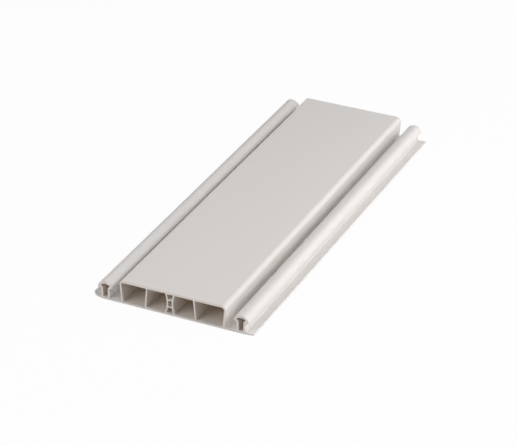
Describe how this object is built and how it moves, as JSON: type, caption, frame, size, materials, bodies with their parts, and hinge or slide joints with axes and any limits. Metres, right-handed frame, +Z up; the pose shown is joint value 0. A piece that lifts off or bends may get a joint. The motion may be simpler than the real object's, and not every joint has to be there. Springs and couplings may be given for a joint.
{
  "type": "roller shutter slat",
  "caption": "Hollow-chamber shutter profile with a raised body, a hollow snap rail beside each side wall and a thin cover lip along each edge.",
  "frame": {"origin": "on the flat underside, in the middle of the width and of the length", "axes": "+X across the section towards the round top corner, +Y along the length, +Z up from the flat underside"},
  "size_m": [0.1494, 0.375, 0.0218],
  "materials": {
    "rigid_pvc": "satin white rigid PVC, as extruded, with saw-cut ends"
  },
  "bodies": {
    "root": {"slat_profile": "rigid_pvc"}
  },
  "joints": []
}
